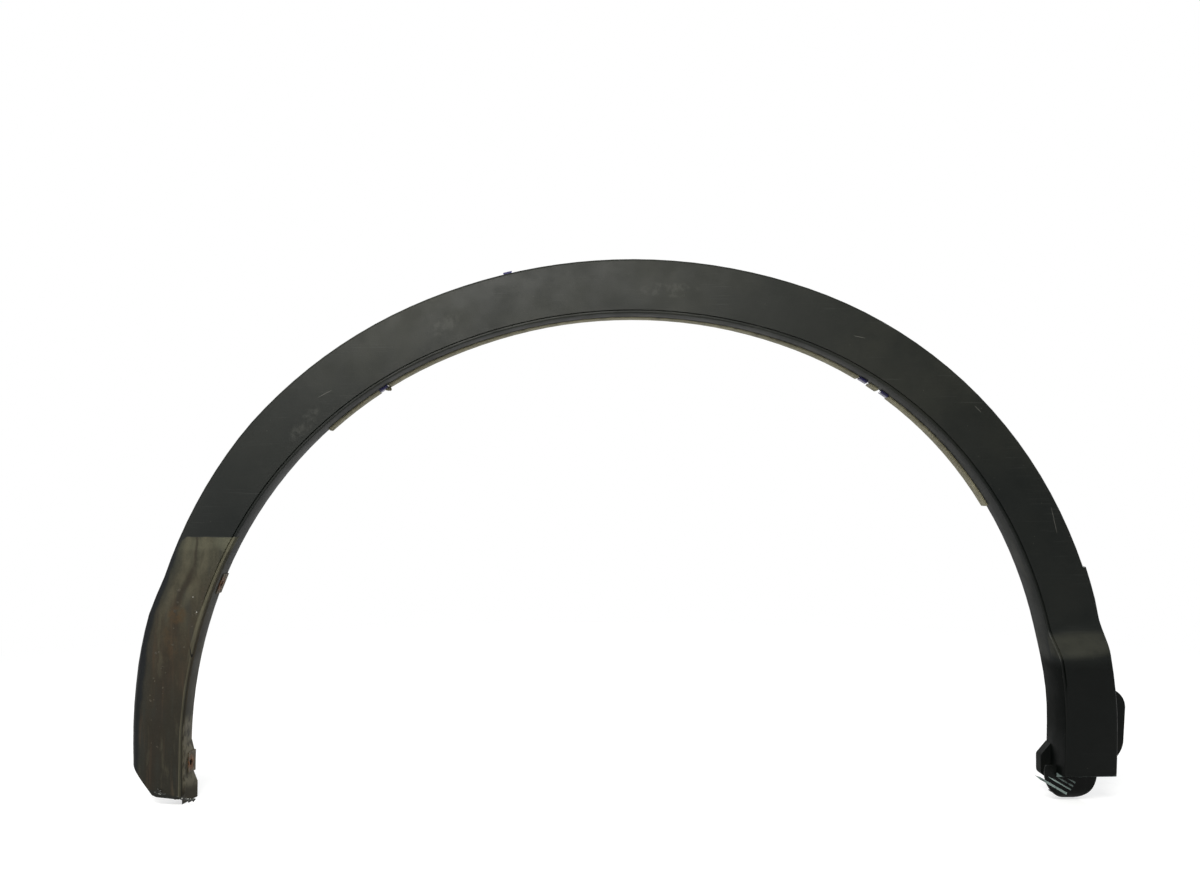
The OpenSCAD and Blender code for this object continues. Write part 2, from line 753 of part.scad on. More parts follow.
module left_seal_strip() {
    seal_strip(left_seal_end, left_edge_clip_at - beside_clip);
}

module crown_seal_strip() {
    seal_strip(left_edge_clip_at + beside_clip, right_edge_clip_at - beside_clip);
}

module short_seal_strip() {
    middle = (right_edge_clip_at + far_edge_clip_at) / 2;
    seal_strip(middle - short_seal_run / 2, middle + short_seal_run / 2);
}

module right_seal_strip() {
    seal_strip(far_edge_clip_at + beside_clip, right_seal_end);
}

arch_moulding();
body_clips();
edge_clips();
spring_nuts();
left_seal_strip();
crown_seal_strip();
short_seal_strip();
right_seal_strip();
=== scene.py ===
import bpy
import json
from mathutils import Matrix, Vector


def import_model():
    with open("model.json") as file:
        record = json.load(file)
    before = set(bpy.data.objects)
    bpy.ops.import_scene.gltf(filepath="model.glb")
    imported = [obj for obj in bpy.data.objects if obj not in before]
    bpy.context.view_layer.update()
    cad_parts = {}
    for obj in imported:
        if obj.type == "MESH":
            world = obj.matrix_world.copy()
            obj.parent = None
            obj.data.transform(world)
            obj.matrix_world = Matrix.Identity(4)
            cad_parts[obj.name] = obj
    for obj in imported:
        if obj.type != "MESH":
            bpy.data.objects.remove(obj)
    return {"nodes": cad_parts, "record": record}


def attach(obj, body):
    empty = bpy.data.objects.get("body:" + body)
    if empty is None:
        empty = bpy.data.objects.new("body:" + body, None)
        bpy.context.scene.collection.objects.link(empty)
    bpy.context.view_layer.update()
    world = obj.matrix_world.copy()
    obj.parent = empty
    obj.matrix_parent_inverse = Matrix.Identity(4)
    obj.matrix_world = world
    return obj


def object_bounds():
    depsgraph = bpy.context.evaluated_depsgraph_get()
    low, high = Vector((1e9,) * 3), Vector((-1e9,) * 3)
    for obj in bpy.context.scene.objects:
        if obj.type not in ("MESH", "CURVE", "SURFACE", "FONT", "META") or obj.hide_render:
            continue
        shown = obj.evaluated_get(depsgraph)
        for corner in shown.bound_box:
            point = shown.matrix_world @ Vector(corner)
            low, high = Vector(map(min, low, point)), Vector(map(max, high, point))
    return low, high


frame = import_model()
cad_box = [list(corner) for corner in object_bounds()]

import json
import math
import random

import bmesh
import bpy
from mathutils import Matrix, Vector, noise

# Fixes the offset of the vector noise, which Blender otherwise draws anew in each run
noise.seed_set(1)

MM = 0.001
ROOT = "root"

# Where the crease of the left leg runs: height and x, both in mm
LEFT_CREASE = [(-231, -376.9), (-265, -397.5), (-301, -414.8), (-339, -428.7), (-377, -439.3),
               (-417, -446.5), (-456, -450.3), (-496, -451.1), (-530, -451.3)]
# The left leg's face: depth of its crease, width, slope outwards and bulge between its edges
CREASE_Y = -22
FACE_W = 56.3
FACE_SLOPE = 0.16
FACE_BULGE = 2.8
# Middle and half width of the groove behind the crease
GROOVE_MID = 2.4
GROOVE_HALF = 1.4
# Outer border of the mark that a mud flap left on the left leg, and the mark's top
MARK_BORDER = [(-264, -447.5), (-268, -453), (-275, -456.5), (-315, -469), (-341, -480),
               (-372, -486.7), (-402, -489), (-445, -494), (-530, -497)]
MARK_TOP = MARK_BORDER[0][0]
# Middle line of the dark streak in that mark, and half its width, by height
STREAK = [(-264, -437), (-292, -438), (-309, -446), (-320, -452), (-337, -459), (-353, -457),
          (-391, -464), (-434, -473), (-490, -480), (-530, -481)]
STREAK_HALF = [(-264, 0.8), (-292, 1.2), (-309, 2), (-337, 1.6), (-350, 4), (-391, 5.5),
               (-434, 5), (-490, 3), (-530, 2)]
# Bottom edge of the left foot, from which torn film hangs: x and height
FOOT_EDGE = [(-474, -513.5), (-468, -519.5), (-460, -521.2), (-452, -522.8), (-446, -523.6),
             (-440, -524), (-436, -524)]


def between(table, z):
    """Value at height z in a table of heights and values that falls in height."""
    for (z0, v0), (z1, v1) in zip(table, table[1:]):
        if z >= z1:
            return v0 + (v1 - v0) * (z0 - z) / (z0 - z1)
    return table[-1][1]


# ---------- node trees ----------

class Term:
    """A number in a node tree, with plain arithmetic."""

    def __init__(self, tree, socket):
        self.tree = tree
        self.socket = socket

    def __add__(self, other):
        return self.tree.math("ADD", self, other)

    def __sub__(self, other):
        return self.tree.math("SUBTRACT", self, other)

    def __mul__(self, other):
        return self.tree.math("MULTIPLY", self, other)

    def __truediv__(self, other):
        return self.tree.math("DIVIDE", self, other)

    def __abs__(self):
        return self.tree.math("ABSOLUTE", self)

    def __or__(self, other):
        return self.tree.math("MAXIMUM", self, other)

    def rise(self, low, high):
        """Goes smoothly from 0 at low to 1 at high. Where high is below low, it falls."""
        if high < low:
            return self.tree.spread(self, high, low, 1.0, 0.0)
        return self.tree.spread(self, low, high)


class Tree:
    """A node tree whose nodes are added with their settings and inputs."""

    def __init__(self, tree):
        self.nodes, self.links = tree.nodes, tree.links
        self.nodes.clear()

    def feed(self, socket, value):
        if isinstance(value, Term):
            value = value.socket
        if isinstance(value, bpy.types.NodeSocket):
            self.links.new(value, socket)
        elif isinstance(value, tuple) and socket.type == "RGBA":
            socket.default_value = (*value, 1.0)
        else:
            socket.default_value = value

    def node(self, kind, inputs=None, **settings):
        made = self.nodes.new(kind)
        for key, value in settings.items():
            setattr(made, key, value)
        for key, value in (inputs or {}).items():
            self.feed(made.inputs[key], value)
        return made

    def math(self, operation, a, b=0.0, clamp=False):
        made = self.node("ShaderNodeMath", {0: a, 1: b}, operation=operation, use_clamp=clamp)
        return Term(self, made.outputs[0])

    def spread(self, value, low, high, to_low=0.0, to_high=1.0, kind="SMOOTHSTEP"):
        made = self.node("ShaderNodeMapRange", {"Value": value, "From Min": low, "From Max": high,
                                                "To Min": to_low, "To Max": to_high},
                         interpolation_type=kind)
        return Term(self, made.outputs["Result"])

    def seen_white(self, surface, rest, behind):
        """Shows surface to the camera, and in reflections where it lies behind the object."""
        path = self.node("ShaderNodeLightPath").outputs
        fac = (Term(self, path["Is Camera Ray"]) | Term(self, path["Is Transmission Ray"])
               | Term(self, path["Is Glossy Ray"]) * behind)
        return self.node("ShaderNodeMixShader", {0: fac, 1: rest, 2: surface}).outputs[0]


class Graph(Tree):
    """A material's node tree, with places in mm in the object's own frame."""

    def __init__(self, name):
        self.material = bpy.data.materials.new(name)
        self.material.use_nodes = True
        super().__init__(self.material.node_tree)
        around = self.node("ShaderNodeTexCoord")
        place, self.normal = around.outputs["Object"], around.outputs["Normal"]
        scaled = self.node("ShaderNodeVectorMath", {0: place, 1: (1000, 1000, 1000)},
                           operation="MULTIPLY")
        self.place = scaled.outputs[0]
        self.x, self.y, self.z = self.parts(self.place)

    def parts(self, vector):
        split = self.node("ShaderNodeSeparateXYZ", {0: vector})
        return (Term(self, split.outputs[i]) for i in range(3))

    def noise(self, size, detail=4.0, rough=0.55, stretch=(1, 1, 1), turn=0.0, shift=0.0):
        """Noise from about 0 to 1 with blobs of the given size in mm."""
        mapped = self.node("ShaderNodeMapping", {"Vector": self.place, "Rotation": (0, turn, 0),
                                                 "Location": (shift, shift / 2, shift / 3),
                                                 "Scale": tuple(1 / (size * k) for k in stretch)})
        made = self.node("ShaderNodeTexNoise", {"Vector": mapped.outputs[0], "Scale": 1.0,
                                                "Detail": detail, "Roughness": rough})
        return Term(self, made.outputs["Fac"])

    def cells(self, size):
        """Distance from the middle of cells of the given size in mm."""
        made = self.node("ShaderNodeTexVoronoi", {"Vector": self.place, "Scale": 1 / size})
        return Term(self, made.outputs["Distance"])

    def by_height(self, table, low=-540.0, high=-220.0):
        """Value of a table at this height."""
        values = [v for _, v in table]
        least, most = min(values) - 1, max(values) + 1
        share = self.spread(self.z, low, high, kind="LINEAR")
        made = self.node("ShaderNodeFloatCurve", {"Value": share})
        curve = made.mapping.curves[0]
        points = sorted(((z - low) / (high - low), (v - least) / (most - least)) for z, v in table)
        curve.points[0].location = (0.0, points[0][1])
        curve.points[1].location = (1.0, points[-1][1])
        for p in points:
            curve.points.new(*p)
        for p in curve.points:
            p.handle_type = "VECTOR"
        made.mapping.update()
        return Term(self, made.outputs[0]) * (most - least) + least

    def blot(self, x, z, half_x, half_z, turn=0.0, soft=0.6):
        """1 inside an ellipse in the XZ plane, falling to 0 at its border."""
        c, s = math.cos(turn), math.sin(turn)
        dx, dz = self.x - x, self.z - z
        u = (dx * c + dz * s) / half_x
        v = (dz * c - dx * s) / half_z
        return (u * u + v * v).rise(1.0, 1.0 - soft)

    def blots(self, *each):
        """The strongest of several blots."""
        most = self.blot(*each[0])
        for one in each[1:]:
            most = most | self.blot(*one)
        return most

    def colours(self, fac, *stops):
        """Colour from a ramp of places and linear colours."""
        made = self.node("ShaderNodeValToRGB", {"Fac": fac})
        ramp = made.color_ramp
        for k, (at, colour) in enumerate(stops):
            stop = ramp.elements[k] if k < 2 else ramp.elements.new(at)
            stop.position = at
            stop.color = (*colour, 1.0)
        return made.outputs[0]

    def mix(self, fac, a, b):
        return self.node("ShaderNodeMix", {"Factor": fac, 6: a, 7: b}, data_type="RGBA").outputs[2]

    def finish(self, colour, rough, height, depth, metal=0.0, **others):
        """Ends the graph in one principled shader. The height is in mm times depth."""
        bump = self.node("ShaderNodeBump", {"Height": height, "Distance": depth * MM, "Strength": 1.0})
        shader = self.node("ShaderNodeBsdfPrincipled", {"Base Color": colour, "Roughness": rough,
                                                        "Metallic": metal, "Normal": bump.outputs[0]})
        for key, value in others.items():
            self.feed(shader.inputs[key.replace("_", " ")], value)
        self.node("ShaderNodeOutputMaterial", {"Surface": shader.outputs[0]})
        return self.material


# ---------- materials ----------

def hairlines(g):
    """Fine scratch lines in three directions, in patches."""
    lines = None
    for k, turn in enumerate((0.5, -0.9, 1.4)):
        hair = g.noise(1.1, 1, 0.3, (60, 60, 1), turn, 7 * k).rise(0.66, 0.74)
        hair = hair * g.noise(45, 2, 0.5, shift=11 * k + 5).rise(0.5, 0.66)
        lines = hair if lines is None else lines | hair
    return lines


def mark_mud(g, crease, border, grains):
    """Colour of the dried mud in the mark on the left leg, with its streak."""
    x, y, z = g.x, g.y, g.z
    share = g.spread(z, -520.0, -260.0, kind="LINEAR")
    veil = g.noise(22, 6, 0.66, (1, 1, 1.7), shift=2)
    mud = g.colours(share + (veil - 0.5) * 0.5,
                    (0.0, (0.0155, 0.0145, 0.0105)), (0.3, (0.019, 0.016, 0.0105)),
                    (0.55, (0.033, 0.0255, 0.0155)), (0.72, (0.037, 0.031, 0.0195)),
                    (0.86, (0.0395, 0.0365, 0.024)), (1.0, (0.0445, 0.043, 0.0285)))
    mud = g.mix(grains * 0.3, mud, (0.02, 0.019, 0.0125))
    bands = g.noise(9, 5, 0.6, (1, 1, 5), 0.16, 21)
    mud = g.mix(bands.rise(0.5, 0.68) * 0.6, mud, (0.022, 0.023, 0.019))
    mud = g.mix(bands.rise(0.46, 0.32) * 0.4, mud, (0.066, 0.06, 0.039))
    lightest = g.blot(-404, -268, 20, 12, 0, 0.9) | g.blot(-438, -272, 30, 7, 0, 0.9) * 0.5
    mud = g.mix(lightest * 0.38, mud, (0.12, 0.118, 0.08))
    mud = g.mix((x - border).rise(11, 2) * 0.5, mud, (0.02, 0.0205, 0.0165))

    # Dark streak with pale bands beside it and two branches at its top, rusty patches and runs
    off = abs(x - g.by_height(STREAK) + (g.noise(12, 3, shift=9) - 0.5) * 5)
    beside = off.rise(2, 7) * off.rise(17, 9) * z.rise(-372, -315)
    beside = beside * g.noise(16, 4, 0.6, (1, 1, 2), shift=17).rise(0.3, 0.6)
    mud = g.mix(beside * 0.5, mud, (0.088, 0.08, 0.052))
    streak = (off / g.by_height(STREAK_HALF)).rise(2.4, 0.2)
    streak = streak * g.noise(14, 5, 0.65, shift=4).rise(0.26, 0.5)
    branch = g.blots((-438, -298, 2.2, 13, 0.35, 0.95), (-431, -285, 1.8, 12, -0.2, 0.95)) * 0.45
    mud = g.mix((streak | branch) * 0.7, mud, (0.019, 0.0145, 0.0095))
    patch = g.blot(-456, -342, 13, 11, 0.3, 0.9) | g.blot(-462, -366, 9, 22, 0.15, 0.9) * 0.6
    mud = g.mix(patch * g.noise(5, 4).rise(0.3, 0.62) * 0.8, mud, (0.05, 0.031, 0.014))
    runs = g.noise(5, 3, 0.6, (1, 1, 14), shift=6).rise(0.52, 0.7) * z.rise(-300, -360)
    mud = g.mix(runs * 0.4, mud, (0.05, 0.031, 0.018))

    # Pale mud that fills the groove and lies along the crease
    filled = (abs(x - crease + GROOVE_MID) / GROOVE_HALF).rise(1.6, 0.8) * z.rise(-400, -340)
    corner = (abs(x - crease) / 1.8).rise(1.0, 0.4) * y.rise(-17, -20) * z.rise(-280, -310)
    return g.mix((filled | corner) * 0.5, mud, (0.12, 0.112, 0.074))


def black_plastic():
    g = Graph("grained_black_plastic")
    x, y, z = g.x, g.y, g.z
    aside, ahead, _ = g.parts(g.normal)
    on_front = y.rise(-6, -12)
    clean = g.mix(g.noise(60).rise(0.35, 0.7), (0.0038, 0.0052, 0.0048), (0.0066, 0.0078, 0.0068))
    rough = g.noise(25, 5).rise(0.3, 0.75) * 0.1 + 0.43

    # Film of pale dust, thickest on the crown and in broad cloudy patches; its lighter crown is also
    # painted sheen from the light above
    cloud = g.noise(95, 5, 0.6, shift=3).rise(0.35, 0.7)
    film = (z.rise(-260, -30) * 0.75 + 0.1) * (cloud * 0.6 + 0.4) * y.rise(4, -12)
    colour = g.mix(film * 0.5, clean, (0.036, 0.036, 0.026))
    rough = rough + film * 0.05

    # Rubbed places, faint smudges on the face, and single scratches
    lines = hairlines(g)
    colour = g.mix(lines * 0.16, colour, (0.06, 0.062, 0.058))
    smudge = g.blots((-190, -52, 20, 9, 0.6), (35, -16, 34, 9), (130, -60, 22, 7, -0.4),
                     (-330, -150, 25, 10, 0.9))
    smudge = smudge * g.noise(7, 4, 0.6).rise(0.42, 0.66)
    scratch = g.blots((347.5, -135.5, 5.2, 0.45, -0.785, 0.5), (424.5, -248, 15.6, 0.4, -1.37, 0.5),
                      (-310, -121, 9, 0.4, 0.5, 0.5), (227, -63, 7, 0.4, -0.2, 0.5)) * on_front
    colour = g.mix((smudge * 0.2 | scratch * 0.8) * on_front, colour, (0.075, 0.075, 0.066))

    # Left leg: the mark of a mud flap, with specks of dirt in it
    left = x.rise(-300, -340)
    crease = g.by_height(LEFT_CREASE)
    border = g.by_height(MARK_BORDER) + (g.noise(9, 3) - 0.5) * 3.5
    on_face = y.rise(-9, -11) * (ahead.rise(0.3, 0.0) | aside.rise(0.3, 0.6))
    top_edge = (z + (g.noise(14, 3) - 0.5) * 1.6).rise(MARK_TOP + 0.6, MARK_TOP - 0.9)
    inside = top_edge * (x - border).rise(-1.5, 2.0) * on_face * left
    grains = g.noise(2.6, 4, 0.7).rise(0.38, 0.66)
    colour = g.mix(inside * 0.93, colour, mark_mud(g, crease, border, grains))
    rough = rough + inside * 0.3
    specks = g.blots((-439.5, -323.5, 0.9, 0.7, 0, 0.8), (-435.5, -338.4, 0.7, 0.9, 0, 0.8))
    colour = g.mix(specks * on_face * 0.8, colour, (0.3, 0.3, 0.27))

    # The torn bottom of the foot with painted glints, the slit beside the crease painted dark for its
    # shade, and the dark border
    torn = z + (x + 488) * 0.21 + (g.noise(5, 4, 0.6, shift=23) - 0.5) * 5
    torn = torn.rise(-512.5, -514) * on_face * left
    colour = g.mix(torn * 0.85, colour, (0.009, 0.01, 0.0085))
    # Painted highlights: pale specks on the dark torn band
    painted_glints = torn * g.noise(3.2, 3, 0.5, (1.6, 1, 0.6), 0.3, 31).rise(0.6, 0.68)
    colour = g.mix(painted_glints * 0.55, colour, (0.3, 0.31, 0.29))
    rough = rough - torn * 0.42
    # Painted shade: a thin dark line for the shade inside the slit
    painted_slit_shade = g.blot(-440.5, -381, 0.7, 11.5, 0.17, 0.6) * left * y.rise(-14, -18)
    colour = g.mix(painted_slit_shade * 0.9, colour, (0.005, 0.005, 0.0045))
    rim = (x - border).rise(3.5, -2.5) * z.rise(MARK_TOP + 4, MARK_TOP - 25) * left
    colour = g.mix(rim * 0.95, colour, (0.0022, 0.003, 0.004))

    # Flange of the left leg: olive dirt towards the foot, and thin dust on the flange all round
    flange = (x - crease).rise(-3, 1) * y.rise(-18, -12) * left * aside.rise(0.0, 0.3)
    patches = g.noise(28, 5, 0.62, (1, 1, 2), shift=12).rise(0.3, 0.6) * 0.5 + 0.5
    grime = flange * z.rise(-270, -350) * patches
    colour = g.mix(grime * 0.9, colour, (0.044, 0.037, 0.024))
    pale = flange * g.blot(-440, -480, 30, 42, 0, 0.5) * g.noise(10, 4, shift=8).rise(0.35, 0.6)
    colour = g.mix(pale * 0.7, colour, (0.17, 0.155, 0.11))
    dusty = y.rise(-16, -4) * g.noise(40, 5, 0.6, shift=14).rise(0.38, 0.68)
    colour = g.mix(dusty * 0.3, colour, (0.05, 0.049, 0.038))

    # Right leg: dust and painted highlight on the ramp, a darker foot, partly cleaner and partly
    # painted shade, and the polished tongue under it with painted highlights on its ribs
    right = x.rise(330, 370)
    # Painted highlight: the ramp is lighter where its slope faces the light above, with some dust
    ramp = g.blot(445, -372, 60, 15, 0.05, 0.9) * right * y.rise(-16, -20)
    ramp = ramp * (g.noise(12, 4).rise(0.2, 0.6) * 0.4 + 0.6)
    colour = g.mix(ramp * 0.5, colour, (0.046, 0.046, 0.034))
    # Painted shade: the foot is painted darker, partly as cleaner plastic and partly as shade on the
    # leg turned from the light
    foot = z.rise(-380, -396) * right
    colour = g.mix(foot * 0.8, colour, (0.001, 0.0016, 0.0013))
    tongue = z.rise(-500.5, -502) * right * y.rise(-8, -10)
    # Painted highlights: pale streaks along the front edges of the tongue's ribs
    painted_rib_highlights = tongue * y.rise(-18.2, -19.0) * g.noise(6, 3, shift=19).rise(0.25, 0.5)
    colour = g.mix(painted_rib_highlights * 0.85, colour, (0.21, 0.265, 0.25))
    rough = g.math("MULTIPLY", rough + tongue * -0.24, 1.0, clamp=True)

    # Where the surface mirrors less: across the depth, inside the right foot and in the grime
    edgewise = abs(ahead).rise(0.7, 0.4)
    inwards = aside.rise(-0.45, -0.8) * z.rise(-345, -395) * right
    dull = edgewise * 0.14 + inwards * (z.rise(-485, -450) * 0.02) + foot * 0.03 + grime * 0.02

    # Loose specks of dust and the moulded grain
    dots = g.cells(6.5).rise(0.09, 0.04) * g.noise(30, 2, shift=15).rise(0.5, 0.6)
    colour = g.mix(dots * (inside * -0.8 + 1.0) * 0.3, colour, (0.1, 0.098, 0.08))
    grain = g.cells(0.85) * 0.55 + g.noise(0.5, 2) * 0.45
    grain = grain * (tongue * -0.8 + 1.0) * (inside * -0.5 + 1.0)
    crust = inside * (g.noise(4, 5, 0.7) * 1.6 + grains * 0.7)
    height = grain + crust * 2.2 - lines * 0.4 - scratch * 1.2
    return g.finish(colour, rough, height, 0.07, Specular_IOR_Level=dull * -1.0 + 0.2)


def blue_plastic():
    g = Graph("clip_blue_plastic")
    colour = g.mix(g.noise(3).rise(0.35, 0.7), (0.016, 0.0125, 0.075), (0.03, 0.026, 0.12))
    dust = g.noise(1.6, 5, 0.65, shift=3).rise(0.48, 0.7)
    colour = g.mix(dust * 0.4, colour, (0.11, 0.1, 0.09))
    return g.finish(colour, dust * 0.3 + 0.34, g.noise(0.4, 3) + dust * 0.8, 0.05)


def foam():
    g = Graph("sealing_foam")
    tone = g.noise(30, 5, 0.6).rise(0.3, 0.7)
    colour = g.mix(tone, (0.165, 0.15, 0.09), (0.26, 0.24, 0.155))
    stain = g.noise(11, 5, 0.66, shift=5).rise(0.5, 0.72)
    colour = g.mix(stain * 0.7, colour, (0.062, 0.055, 0.037))
    # Painted shade: the pores and the finer cells are painted darker, as the shade inside them
    pores = g.cells(1.3).rise(0.32, 0.1)
    colour = g.mix(pores * 0.3, colour, (0.06, 0.053, 0.035))
    fine = g.cells(0.5).rise(0.5, 0.15)
    colour = g.mix(fine * 0.3, colour, (0.08, 0.07, 0.045))
    height = g.noise(2.5, 5, 0.7) * 1.2 - pores * 0.8 - fine * 0.4
    return g.finish(colour, tone * 0.08 + 0.88, height, 0.25, Sheen_Weight=0.15)


def rust(centres):
    """Rusted sheet steel, with the grime of the flange over whatever lies far from a screw hole."""
    g = Graph("rusty_sheet_steel")
    flaky = g.noise(2.2, 6, 0.68)
    colour = g.colours(flaky, (0.28, (0.02, 0.009, 0.005)), (0.42, (0.065, 0.024, 0.009)),
                       (0.54, (0.13, 0.05, 0.014)), (0.68, (0.21, 0.09, 0.028)),
                       (0.8, (0.2, 0.15, 0.09)))
    bare = g.noise(6, 4, 0.6, shift=4).rise(0.55, 0.68)
    colour = g.mix(bare * 0.5, colour, (0.16, 0.15, 0.115))
    pits = g.cells(1.1).rise(0.3, 0.1)
    colour = g.mix(pits * 0.6, colour, (0.012, 0.006, 0.004))
    near = None
    for centre in centres:
        far = g.node("ShaderNodeVectorMath", {0: g.place, 1: centre}, operation="DISTANCE")
        ragged = Term(g, far.outputs["Value"]) + (g.noise(5, 4, 0.65, shift=8) - 0.5) * 9
        this = ragged.rise(11.5, 7.5)
        near = this if near is None else near | this
    caked = near * -1.0 + 1.0
    tone = g.noise(7, 4, 0.6, shift=2).rise(0.35, 0.65)
    colour = g.mix(caked * 0.85, colour, g.mix(tone, (0.03, 0.028, 0.018), (0.105, 0.095, 0.065)))
    height = flaky * 1.8 - pits * 1.2 + caked * 1.5
    return g.finish(colour, bare * -0.2 + 0.85, height, 0.3, bare * 0.45 * near)


def torn_film():
    g = Graph("torn_film")
    # The pale patches are partly whitish film and partly painted highlights
    tone = g.noise(2.2, 5, 0.65).rise(0.52, 0.68)
    colour = g.mix(tone, (0.011, 0.012, 0.01), (0.34, 0.34, 0.31))
    return g.finish(colour, tone * 0.1 + 0.22, g.noise(0.8, 5, 0.6), 0.25)


def dry_mud():
    g = Graph("dry_mud")
    tone = g.noise(3, 5, 0.65).rise(0.3, 0.7)
    colour = g.mix(tone, (0.022, 0.018, 0.012), (0.06, 0.052, 0.036))
    return g.finish(colour, tone * 0.05 + 0.9, g.noise(0.5, 5, 0.7), 0.2)


# ---------- carried-over solids ----------

def soften(name, limit):
    """Modifier that joins the facets' corners and shades as smooth every edge below the limit."""
    group = bpy.data.node_groups.new(name, "GeometryNodeTree")
    for way in ("INPUT", "OUTPUT"):
        group.interface.new_socket("Geometry", in_out=way, socket_type="NodeSocketGeometry")
    tree = Tree(group)
    solid = tree.node("NodeGroupInput").outputs[0]
    plain = tree.node("GeometryNodeRemoveAttribute", {0: solid, "Name": "custom_normal"})
    whole = tree.node("GeometryNodeMergeByDistance", {0: plain.outputs[0], "Distance": 2e-6})
    smooth = tree.node("GeometryNodeSetShadeSmooth", {0: whole.outputs[0]})
    angle = tree.node("GeometryNodeInputMeshEdgeAngle").outputs[0]
    sharp = tree.node("FunctionNodeCompare", {0: angle, 1: math.radians(limit)},
                      operation="GREATER_THAN")
    edged = tree.node("GeometryNodeSetShadeSmooth", {0: smooth.outputs[0], "Shade Smooth": False,
                                                     "Selection": sharp.outputs[0]}, domain="EDGE")
    tree.node("NodeGroupOutput", {0: edged.outputs[0]})
    return group


def dress(node, material, group):
    piece = frame["nodes"][node]
    piece.data.materials.clear()
    piece.data.materials.append(material)
    piece.modifiers.new("soften", "NODES").node_group = group


# ---------- new pieces ----------

def piece_from(name, bm, material, smooth=True):
    for f in bm.faces:
        f.smooth = smooth
    mesh = bpy.data.meshes.new(name)
    bm.normal_update()
    bm.to_mesh(mesh)
    bm.free()
    mesh.materials.append(material)
    made = bpy.data.objects.new(name, mesh)
    bpy.context.scene.collection.objects.link(made)
    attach(made, ROOT)
    return made


def face_depth(x, z):
    """Depth y of the left leg's face, in mm."""
    n = between(LEFT_CREASE, z) - x
    return CREASE_Y + FACE_SLOPE * n - FACE_BULGE * (n / FACE_W) * (1 - n / FACE_W)


def mud_crumbs(material):
    """Crumbs of dry mud that stick to the left leg's face, inside the mark."""
    count, least, most = 50, 0.35, 1.0
    big_share, big = 0.12, 1.8
    from_edge = 5
    rng = random.Random(7)
    bm = bmesh.new()
    for _ in range(count):
        z = rng.triangular(-505, -268, -300)
        x = rng.uniform(between(MARK_BORDER, z) + from_edge, between(LEFT_CREASE, z) - from_edge)
        size = rng.uniform(least, most)
        if rng.random() < big_share:
            size *= big
        place = Matrix.Translation(Vector((x, face_depth(x, z), z)) * MM)
        spin = Matrix.Rotation(rng.uniform(0, 6.3), 4, "Y")
        squash = Matrix.Diagonal((size * rng.uniform(0.8, 1.8), size * 0.45, size, 1 / MM)) * MM
        made = bmesh.ops.create_icosphere(bm, subdivisions=2, radius=1.0,
                                          matrix=place @ spin @ squash)
        for v in made["verts"]:
            v.co += noise.noise_vector(v.co * 900) * size * 0.28 * MM
    return piece_from("mud_crumbs", bm, material)


def torn_fringe(material):
    """Ragged film that hangs from the bottom edge of the left foot, with four curled tatters."""
    rng = random.Random(3)
    bm = bmesh.new()
    columns, rows, rings = 74, 6, []
    for i in range(columns):
        x = FOOT_EDGE[0][0] + (FOOT_EDGE[-1][0] - FOOT_EDGE[0][0]) * i / (columns - 1)
        for (x0, z0), (x1, z1) in zip(FOOT_EDGE, FOOT_EDGE[1:]):
            if x0 <= x <= x1:
                top = z0 + (z1 - z0) * (x - x0) / (x1 - x0)
        hang = 1.6 + 1.9 * noise.noise((x * 0.22, 3, 0)) + 1.6 * noise.noise((x * 0.8, 9, 0))
        hang = max(hang, 0.5) * min(1.0, (i + 1) / 6, (columns - i) / 6) + 1.0
        ring = []
        for j in range(rows):
            t = j / (rows - 1)
            y = -19.6 + 1.6 * noise.noise((x * 0.3, t * 1.4, 4)) + t * t * 1.5
            y += rng.uniform(-0.1, 0.1)
            ring.append(bm.verts.new(Vector((x, y, top + 1.2 - hang * t)) * MM))
        rings.append(ring)
    for a, b in zip(rings, rings[1:]):
        for j in range(rows - 1):
            bm.faces.new((a[j], b[j], b[j + 1], a[j + 1]))
    for x, y, z, length, turn in ((-470.5, -20.6, -514.4, 3.6, 0.5), (-459, -19.8, -519.6, 5, -0.25),
                                  (-449, -19.8, -522.5, 4, -0.15), (-441.5, -19.4, -525.6, 4.2, 0.3)):
        for i in range(7):
            t = i / 6
            half = 0.75 * math.sin(math.pi * min(t + 0.12, 1)) + 0.1
            mid = Vector((x + (t - 0.5) * length * math.cos(turn), y - 0.9 * math.sin(3 * t),
                          z + (t - 0.5) * length * math.sin(turn)))
            ring = [bm.verts.new((mid + Vector((0, 0.3 * k, half * k))) * MM) for k in (-1, 0, 1)]
            if i:
                for k in range(2):
                    bm.faces.new((last[k], ring[k], ring[k + 1], last[k + 1]))
            last = ring
    made = piece_from("torn_fringe", bm, material)
    made.modifiers.new("thickness", "SOLIDIFY").thickness = 0.3 * MM


def thread(mount, material):
    """Screw thread inside the collar of a spring nut: one helical ridge."""
    turns, per_turn, pitch = 3.0, 28, 1.15
    outer, inner = 2.6, 2.05
    foot_half, crest_half = 0.42, 0.08
    run_out = 6
    centre = Vector(mount["pos_m"])
    axis = Vector(mount["axis"]).normalized()
    side = axis.orthogonal().normalized()
    other = axis.cross(side)
    bm = bmesh.new()
    rings = []
    count = int(turns * per_turn)
    for i in range(count + 1):
        a = 2 * math.pi * i / per_turn
        along = pitch * (i - count / 2) / per_turn
        way = side * math.cos(a) + other * math.sin(a)
        crest = outer - (outer - inner) * min(1.0, i / run_out, (count - i) / run_out)
        corners = ((outer, -foot_half), (crest, -crest_half), (crest, crest_half), (outer, foot_half))
        rings.append([bm.verts.new(centre + way * radius * MM - axis * (along + lift) * MM)
                      for radius, lift in corners])
    for a, b in zip(rings, rings[1:]):
        for k in range(4):
            bm.faces.new((a[k], b[k], b[(k + 1) % 4], a[(k + 1) % 4]))
    bm.faces.new(rings[0])
    bm.faces.new(rings[-1][::-1])
    bmesh.ops.recalc_face_normals(bm, faces=bm.faces[:])
    piece_from(mount["name"] + "_thread", bm, material, smooth=False)


